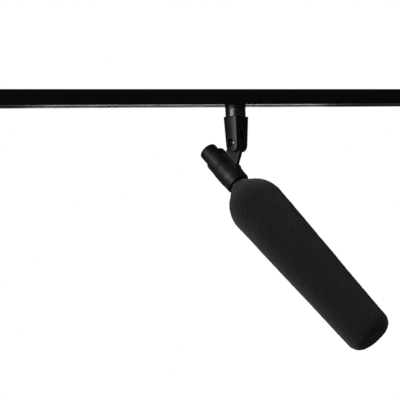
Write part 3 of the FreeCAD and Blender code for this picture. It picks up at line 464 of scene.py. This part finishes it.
def skin_rings(shape, rings, pole):
    """Faces between neighbouring rings, and a fan to the pole."""
    for first, second in zip(rings, rings[1:]):
        for i in range(FOAM_SEGMENTS):
            j = (i + 1) % FOAM_SEGMENTS
            shape.faces.new((first[i], first[j], second[j], second[i]))
    for i in range(FOAM_SEGMENTS):
        shape.faces.new((rings[-1][i], rings[-1][(i + 1) % FOAM_SEGMENTS], pole))


def foam_relief(point):
    """How far the foam's surface stands out at a point, in metres."""
    swell = noise.noise(point / SWELL_WIDTH) * SWELL_HEIGHT
    lumps = noise.noise(point / LUMP_WIDTH) * LUMP_HEIGHT
    grain = noise.noise(point / GRAIN_WIDTH) * GRAIN_HEIGHT
    cell = noise.voronoi(point / CELL_WIDTH)[0][0]
    return swell + lumps + grain - (cell - CELL_MIDDLE) * CELL_DEPTH


def windscreen():
    """Foam windscreen with a pitted, lumpy skin that is smooth at the lip of its mouth."""
    shape = bmesh.new()
    outline = foam_outline()
    mouth = outline[0][0]
    outer, tip = add_rings(shape, outline, FOAM_END)
    inner, bottom = add_rings(shape, bore_outline(mouth), FOAM_BORE_END)
    skin_rings(shape, outer, tip)
    skin_rings(shape, inner, bottom)
    for i in range(FOAM_SEGMENTS):
        j = (i + 1) % FOAM_SEGMENTS
        shape.faces.new((inner[0][i], inner[0][j], outer[0][j], outer[0][i]))
    bmesh.ops.recalc_face_normals(shape, faces=shape.faces)
    shape.normal_update()
    for ring in outer:
        for vertex in ring:
            keep = min(1.0, (vertex.co.x - mouth) / FOAM_LIP_FADE)
            vertex.co += vertex.normal * foam_relief(vertex.co) * keep
    tip.co.x += foam_relief(tip.co)
    mesh = bpy.data.meshes.new("windscreen_foam")
    shape.to_mesh(mesh)
    shape.free()
    mesh.transform(BARREL_FRAME)
    piece = new_piece("windscreen_foam", mesh, "windscreen", foam_material())
    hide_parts("foam_windscreen")


# ---------------------------------------------------------------- finishes on the CAD nodes


def finish_nodes():
    """Gives every CAD node its material."""
    black = moulded_plastic("black_moulding")
    insulator = moulded_plastic("black_insulator", (0.02, 0.02, 0.021), low=0.5, high=0.65)
    pale = pale_plastic()
    brass = turned_metal("brass", (0.62, 0.45, 0.2))
    plated = plain_metal("plated_steel", (0.55, 0.55, 0.57))
    dark_screw = plain_metal("black_screw", (0.16, 0.16, 0.165), low=0.25, high=0.36)
    dark_plating = turned_metal("dark_plating", (0.068, 0.068, 0.071), low=0.3, high=0.4)
    anodise = anodised()
    looks = {
        powder_coat(): ["track_profile"],
        black: ["end_cap", "feed_housing", "feed_cover", "carriage_block"],
        insulator: ["front_insulator", "rear_insulator", "connector_insert"],
        plain_metal("copper", (0.72, 0.36, 0.2)): ["front_conductor", "rear_conductor"],
        soft_rubber(): ["cable_grommet"],
        pale: [
            "terminal_block",
            "front_glide_strip",
            "rear_glide_strip",
            "near_friction_washer",
            "far_friction_washer",
            "insulating_ring",
        ],
        brass: ["terminal_screws", "thread_bush", "back_plate"],
        plated: ["swivel_stud", "pivot_nut", "output_transformer"],
        dark_screw: ["feed_cover_screws", "pivot_bolt", "set_screw"],
        dark_plating: ["lock_ring"],
        moulded_plastic("collar_black", (0.006, 0.006, 0.006)): ["stop_flange"],
        anodise: ["barrel_tube", "capsule_cup", "interference_tube", "nose_grille"],
        plain_metal("silver", (0.75, 0.74, 0.7)): ["contact_pins", "diaphragm"],
        board_green(): ["circuit_board"],
        woven_cloth(): ["acoustic_cloth"],
    }
    for material, names in looks.items():
        for name in names:
            piece = frame["nodes"][name]
            if not piece.material_slots:
                piece.data.materials.append(material)
            for slot in piece.material_slots:
                slot.material = material


# ---------------------------------------------------------------- stage, light and camera

# The camera's distance, height and offset are in metres, its sensor in millimetres.
CAMERA_YAW = math.radians(17)
CAMERA_ROLL = math.radians(-1.8)
CAMERA_DISTANCE = 1.08
CAMERA_HEIGHT = -0.108
CAMERA_ASIDE = 0.0382
SENSOR = 36
FOCAL_RATIO = 2.7  # focal length over the sensor's width


def camera():
    """Level long-lens camera, to the left of the swivel and a little rolled."""
    data = bpy.data.cameras.new("camera")
    data.sensor_width = SENSOR
    data.lens = SENSOR * FOCAL_RATIO
    view = bpy.data.objects.new("camera", data)
    bpy.context.scene.collection.objects.link(view)
    ahead = Vector((math.sin(CAMERA_YAW), math.cos(CAMERA_YAW), 0))
    right = Vector((math.cos(CAMERA_YAW), -math.sin(CAMERA_YAW), 0))
    place = Vector((0, 0, CAMERA_HEIGHT)) - ahead * CAMERA_DISTANCE - right * CAMERA_ASIDE
    level = Matrix((right, Vector((0, 0, 1)), -ahead)).transposed()
    roll = Matrix.Rotation(CAMERA_ROLL, 3, "Z")
    view.matrix_world = Matrix.Translation(place) @ (level @ roll).to_4x4()
    bpy.context.scene.camera = view


def area_light(name, place, target, size, power, height=None, glossy=True, diffuse=True):
    """Soft light that faces a point: square, or as high as asked, for shine, for shading or both."""
    data = bpy.data.lights.new(name, "AREA")
    data.shape = "RECTANGLE"
    data.size = size
    data.size_y = height or size
    data.energy = power
    light = bpy.data.objects.new(name, data)
    bpy.context.scene.collection.objects.link(light)
    light.location = place
    light.rotation_euler = (Vector(target) - Vector(place)).to_track_quat("-Z", "Y").to_euler()
    light.visible_glossy = glossy
    light.visible_diffuse = diffuse


AMBIENT = 0.1


def world():
    """Pale surroundings: a dim light on the object and plain white behind it."""
    surroundings = bpy.data.worlds.new("studio")
    bpy.context.scene.world = surroundings
    surroundings.use_nodes = True
    tree = surroundings.node_tree
    tree.nodes.clear()
    output = tree.nodes.new("ShaderNodeOutputWorld")
    mix = tree.nodes.new("ShaderNodeMixShader")
    lighting = tree.nodes.new("ShaderNodeBackground")
    lighting.inputs["Strength"].default_value = AMBIENT
    shown = tree.nodes.new("ShaderNodeBackground")
    shown.inputs["Color"].default_value = (1, 1, 1, 1)
    shown.inputs["Strength"].default_value = 1.0
    path = tree.nodes.new("ShaderNodeLightPath")
    tree.links.new(path.outputs["Is Camera Ray"], mix.inputs["Fac"])
    tree.links.new(lighting.outputs["Background"], mix.inputs[1])
    tree.links.new(shown.outputs["Background"], mix.inputs[2])
    tree.links.new(mix.outputs["Shader"], output.inputs["Surface"])


FLOOR_LEVEL = -2.4
FLOOR_SIDE = 8


def floor():
    """Plain pale floor well below the track."""
    half = FLOOR_SIDE / 2
    mesh = bpy.data.meshes.new("floor")
    corners = [(-half, -half), (half, -half), (half, half), (-half, half)]
    mesh.from_pydata([(x, y, FLOOR_LEVEL) for x, y in corners], [], [(0, 1, 2, 3)])
    plane = bpy.data.objects.new("floor", mesh)
    bpy.context.scene.collection.objects.link(plane)
    material, tree, shader, place = new_material("floor", (0.82, 0.82, 0.82), 0.7)
    cloud = noise_value(tree, place, 0.4, detail=3)
    vary_color(tree, shader, cloud, (0.8, 0.8, 0.8), (0.84, 0.84, 0.84))
    mesh.materials.append(material)


def lights():
    """Shine and soft light from the left, a weak top light, a rim light and a glow along the track."""
    head = BARREL + FORWARD * FOAM_DOME_CENTRE
    area_light("shine", (-1.42, -0.74, 0.0), head, size=0.9, power=24, diffuse=False)
    area_light("soft_left", (-1.43, -0.43, 0.36), head, size=1.0, power=20, glossy=False)
    area_light("rim", (-0.81, 1.05, -0.92), head, size=1.0, power=8, glossy=False)
    area_light("top", (0.3, -0.6, 1.2), head, size=1.2, power=7.5, glossy=False)
    area_light("track_glow", (0.66, 2.5, -0.27), (0, 0, 0), size=1.0, power=1.7, height=0.4)


def color_view():
    """Standard view transform with no look, so that white stays white."""
    settings = bpy.context.scene.view_settings
    settings.view_transform = "Standard"
    settings.look = "None"


# ---------------------------------------------------------------- build

finish_nodes()
windscreen()
clip_plastic = moulded_plastic(
    "clip_plastic",
    color=(0.0055, 0.0055, 0.0057),
    low=0.4,
    high=0.5,
    specular=0.3,
    grain_size=0.3 * MM,
)
clip = remoulded("clip_body", "clip_moulding", "clip", clip_plastic, voxel=0.4 * MM, rounds=6)
fork_plastic = moulded_plastic(
    "fork_plastic",
    color=(0.006, 0.006, 0.0062),
    low=0.3,
    high=0.38,
    specular=0.17,
    grain_size=0.3 * MM,
)
fork = remoulded("fork_body", "fork_moulding", "fork", fork_plastic, voxel=0.3 * MM, rounds=3)
color_view()
world()
floor()
lights()
camera()
